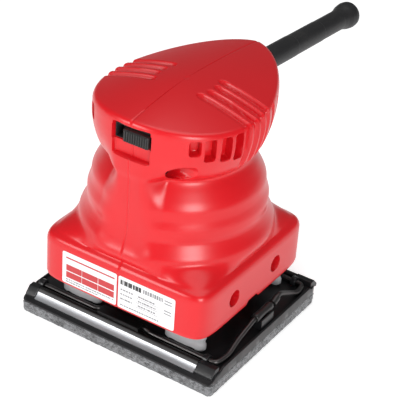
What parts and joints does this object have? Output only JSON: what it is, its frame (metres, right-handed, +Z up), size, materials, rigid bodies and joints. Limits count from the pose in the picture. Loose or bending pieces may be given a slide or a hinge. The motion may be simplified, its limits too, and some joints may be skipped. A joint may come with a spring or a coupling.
{
  "type": "orbital sander",
  "caption": "Palm-held orbital sander with a ridged grip, slide switch, cord guard and a flat platen with spring clamps",
  "frame": {"origin": "the middle of the platen's lower face, where the sanding paper lies", "axes": "+X is the sander's right side, -Y its front with the switch, +Y its rear with the cord guard, and +Z is up"},
  "size_m": [0.112, 0.2122, 0.1282],
  "materials": {
    "housing_right": "moulded, lightly glossy",
    "housing_left": "moulded, lightly glossy",
    "housing_screws": "blackened steel screws",
    "rating_label_left": "printed film, blank of words",
    "rating_label_right": "printed film, blank of words",
    "switch_body": "moulded",
    "switch_slider": "moulded, ribbed",
    "cord_guard": "soft rubber",
    "cord_clamp": "moulded",
    "cord_clamp_screws": "zinc plated",
    "stator_core": "varnished steel sheets",
    "field_coils": "enamelled copper wire",
    "brush_holders": "pressed brass",
    "carbon_brushes": "pressed carbon",
    "brush_springs": "spring steel",
    "suppression_capacitor": "moulded block",
    "upper_bearing_outer": "ground steel",
    "upper_bearing_balls": "polished steel",
    "upper_bearing_inner": "ground steel",
    "lower_bearing_outer": "ground steel",
    "lower_bearing_balls": "polished steel",
    "lower_bearing_inner": "ground steel",
    "rotor_shaft": "ground steel",
    "armature_core": "varnished steel sheets",
    "armature_windings": "enamelled copper wire",
    "commutator": "turned copper",
    "cooling_fan": "moulded",
    "eccentric": "turned steel",
    "counterweight": "cast",
    "platen_bearing_inner": "ground steel",
    "platen_bearing_balls": "polished steel",
    "platen_bearing_outer": "ground steel",
    "platen_screw": "zinc plated",
    "bearing_retainer": "pressed steel",
    "retainer_screws": "zinc plated",
    "base_plate": "moulded, fine grain",
    "sanding_pad": "pressed felt",
    "flexible_legs": "moulded rubber",
    "leg_screws": "zinc plated",
    "lever_catch": "moulded",
    "clamp_rods": "drawn steel wire",
    "front_clamp_strip": "bent sheet steel, zinc plated",
    "front_lever": "bent spring wire",
    "front_lever_grip": "plastic sleeve",
    "rear_clamp_strip": "bent sheet steel, zinc plated",
    "rear_lever": "bent spring wire",
    "rear_lever_grip": "plastic sleeve"
  },
  "bodies": {
    "casing": {"housing_right": "housing_right", "housing_left": "housing_left", "housing_screws": "housing_screws", "rating_label_left": "rating_label_left", "rating_label_right": "rating_label_right", "switch_body": "switch_body", "cord_guard": "cord_guard", "cord_clamp": "cord_clamp", "cord_clamp_screws": "cord_clamp_screws", "stator_core": "stator_core", "field_coils": "field_coils", "brush_holders": "brush_holders", "carbon_brushes": "carbon_brushes", "brush_springs": "brush_springs", "suppression_capacitor": "suppression_capacitor", "upper_bearing_outer": "upper_bearing_outer", "upper_bearing_balls": "upper_bearing_balls", "lower_bearing_outer": "lower_bearing_outer", "lower_bearing_balls": "lower_bearing_balls"},
    "slider": {"switch_slider": "switch_slider"},
    "rotor": {"rotor_shaft": "rotor_shaft", "armature_core": "armature_core", "armature_windings": "armature_windings", "commutator": "commutator", "cooling_fan": "cooling_fan", "upper_bearing_inner": "upper_bearing_inner", "lower_bearing_inner": "lower_bearing_inner", "eccentric": "eccentric", "counterweight": "counterweight", "platen_bearing_inner": "platen_bearing_inner", "platen_screw": "platen_screw"},
    "platen": {"base_plate": "base_plate", "sanding_pad": "sanding_pad", "platen_bearing_outer": "platen_bearing_outer", "platen_bearing_balls": "platen_bearing_balls", "bearing_retainer": "bearing_retainer", "retainer_screws": "retainer_screws", "flexible_legs": "flexible_legs", "leg_screws": "leg_screws", "lever_catch": "lever_catch", "clamp_rods": "clamp_rods"},
    "front_strip": {"front_clamp_strip": "front_clamp_strip"},
    "front_clamp_lever": {"front_lever": "front_lever", "front_lever_grip": "front_lever_grip"},
    "rear_strip": {"rear_clamp_strip": "rear_clamp_strip"},
    "rear_clamp_lever": {"rear_lever": "rear_lever", "rear_lever_grip": "rear_lever_grip"}
  },
  "joints": [
    {"name": "rotor_spin", "type": "hinge", "parent": "casing", "child": "rotor", "pos_m": [0, -0.0008, 0.05], "axis": [0, 0, 1], "continuous": true},
    {"name": "platen_orbit", "type": "hinge", "parent": "rotor", "child": "platen", "pos_m": [0, 0, 0.018], "axis": [0, 0, 1], "continuous": true},
    {"name": "switch_slide", "type": "slide", "parent": "casing", "child": "slider", "axis": [1, 0, 0], "range_m": [-0.0056, 0]},
    {"name": "front_lever_turn", "type": "hinge", "parent": "platen", "child": "front_clamp_lever", "pos_m": [0, -0.04036, 0.0119], "axis": [1, 0, 0], "range_deg": [0, 60]},
    {"name": "front_strip_turn", "type": "hinge", "parent": "platen", "child": "front_strip", "pos_m": [0, -0.0446, 0.0119], "axis": [1, 0, 0], "range_deg": [-12, 0]},
    {"name": "rear_lever_turn", "type": "hinge", "parent": "platen", "child": "rear_clamp_lever", "pos_m": [0, 0.04036, 0.0119], "axis": [1, 0, 0], "range_deg": [-60, 0]},
    {"name": "rear_strip_turn", "type": "hinge", "parent": "platen", "child": "rear_strip", "pos_m": [0, 0.0446, 0.0119], "axis": [1, 0, 0], "range_deg": [0, 12]}
  ],
  "couplings": [
    {"joint": "platen_orbit", "follows": "rotor_spin", "ratio": -1},
    {"joint": "front_strip_turn", "follows": "front_lever_turn", "ratio": -0.2},
    {"joint": "rear_strip_turn", "follows": "rear_lever_turn", "ratio": -0.2}
  ]
}
